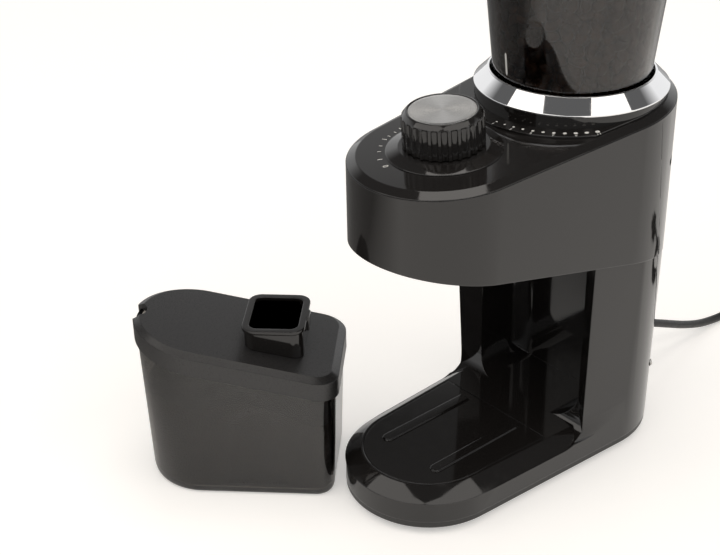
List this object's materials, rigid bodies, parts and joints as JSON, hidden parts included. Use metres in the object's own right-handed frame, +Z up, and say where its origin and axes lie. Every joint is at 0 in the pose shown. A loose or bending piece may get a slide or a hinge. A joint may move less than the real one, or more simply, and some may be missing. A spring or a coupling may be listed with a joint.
{
  "type": "burr coffee grinder",
  "caption": "Conical burr coffee grinder with a C-shaped body, timer dial, lift-off bean hopper on a chrome collar, and a lidded grounds container standing beside it.",
  "frame": {"origin": "on the table, under the middle of the area that the grinder and its container cover (cord left out)", "axes": "+Z up; the front with the timer dial faces -Y; +X is the right-hand side as seen from behind the dial"},
  "size_m": [0.3256, 0.5406, 0.331],
  "materials": {
    "gloss_black": "polished injection-moulded ABS",
    "satin_black": "fine spark-eroded mould texture",
    "smoked_clear": "clear smoke-tinted SAN, wall about 2.2 mm",
    "chrome_trim": "bright electroplated ABS",
    "brushed_aluminium": "spun brushed, clear anodised",
    "zinc_steel": "zinc plated or turned",
    "tool_steel": "hardened and ground",
    "bronze": "sintered",
    "copper_winding": "enamelled windings on a stack",
    "ferrite": "pressed ferrite",
    "cast_alloy": "die cast",
    "white_nylon": "moulded",
    "red_nylon": "moulded",
    "circuit_board": "solder mask",
    "black_rubber": "moulded, matte",
    "clear_silicone": "moulded, translucent"
  },
  "bodies": {
    "housing": {"main_housing": "gloss_black", "rear_cover": "gloss_black", "base_plate": "satin_black", "container_tray": "gloss_black", "head_cover": "satin_black", "top_deck": "gloss_black", "scale_collar": "gloss_black", "hopper_neck": "satin_black", "chrome_ring": "chrome_trim", "knob_skirt": "gloss_black", "rubber_feet": "black_rubber", "base_screws": "zinc_steel", "cover_screws": "zinc_steel", "gearbox_floor": "cast_alloy", "gearbox_ceiling": "cast_alloy", "gearbox_screws": "zinc_steel", "idler_pin": "zinc_steel", "shaft_bearings": "bronze", "motor_can": "zinc_steel", "motor_cap": "satin_black", "motor_magnets": "ferrite", "motor_mounts": "satin_black", "grinding_chamber": "cast_alloy", "chamber_screws": "zinc_steel", "outlet_spout": "satin_black", "outlet_seal": "black_rubber", "timer_case": "white_nylon", "timer_nut": "zinc_steel", "control_board": "circuit_board", "board_parts": "satin_black", "strain_relief": "satin_black", "cord_clamp": "satin_black", "power_cord": "black_rubber", "cord_coil": "black_rubber", "mains_plug": "satin_black"},
    "timer_dial": {"timer_knob": "gloss_black", "knob_disc": "brushed_aluminium", "timer_shaft": "zinc_steel"},
    "grind_adjuster": {"adjuster_ring": "red_nylon"},
    "upper_burr": {"burr_carrier": "cast_alloy", "ring_burr": "tool_steel", "burr_screws": "zinc_steel"},
    "rotor": {"motor_rotor": "copper_winding", "motor_shaft": "zinc_steel", "motor_pinion": "bronze", "cooling_fan": "satin_black"},
    "idler": {"idler_gear": "white_nylon"},
    "burr_shaft": {"drive_shaft": "zinc_steel", "drive_gear": "white_nylon", "sweeper": "white_nylon", "cone_burr": "tool_steel", "burr_nut": "zinc_steel"},
    "bean_hopper": {"hopper": "smoked_clear", "hopper_base": "satin_black"},
    "bean_hopper_lid": {"hopper_lid": "gloss_black", "lid_seal": "clear_silicone"},
    "grounds_container": {"container_jar": "smoked_clear"},
    "grounds_container_lid": {"container_lid": "gloss_black", "lid_chute": "gloss_black", "lid_gasket": "clear_silicone"}
  },
  "joints": [
    {"name": "timer_turn", "type": "hinge", "parent": "housing", "child": "timer_dial", "pos_m": [0.04331, -0.02432, 0.21974], "axis": [0, -0.0728, 0.9973], "range_deg": [-270, 0]},
    {"name": "grind_set", "type": "hinge", "parent": "housing", "child": "grind_adjuster", "pos_m": [0.04331, 0.07648, 0.204], "axis": [0, 0, 1], "range_deg": [0, 70]},
    {"name": "burr_lift", "type": "slide", "parent": "housing", "child": "upper_burr", "axis": [0, 0, 1], "range_m": [0, 0.0012]},
    {"name": "motor_spin", "type": "hinge", "parent": "housing", "child": "rotor", "pos_m": [0.04331, 0.11298, 0.12], "axis": [0, 0, 1], "continuous": true},
    {"name": "idler_spin", "type": "hinge", "parent": "housing", "child": "idler", "pos_m": [0.06653, 0.09921, 0.155], "axis": [0, 0, 1], "continuous": true},
    {"name": "burr_spin", "type": "hinge", "parent": "housing", "child": "burr_shaft", "pos_m": [0.04331, 0.07648, 0.17], "axis": [0, 0, 1], "continuous": true},
    {"name": "hopper_lift", "type": "slide", "parent": "grind_adjuster", "child": "bean_hopper", "axis": [0, 0, 1], "range_m": [0, 0.12]},
    {"name": "hopper_lid_lift", "type": "slide", "parent": "bean_hopper", "child": "bean_hopper_lid", "axis": [0, 0, 1], "range_m": [0, 0.05]},
    {"name": "container_lift", "type": "slide", "parent": "housing", "child": "grounds_container", "axis": [0, 0, 1], "range_m": [0, 0.1]},
    {"name": "container_lid_lift", "type": "slide", "parent": "grounds_container", "child": "grounds_container_lid", "axis": [0, 0, 1], "range_m": [0, 0.05]}
  ],
  "couplings": [
    {"joint": "burr_lift", "follows": "grind_set", "m_per_rad": 0.00098},
    {"joint": "idler_spin", "follows": "motor_spin", "ratio": -0.28571},
    {"joint": "burr_spin", "follows": "motor_spin", "ratio": 0.085714}
  ]
}
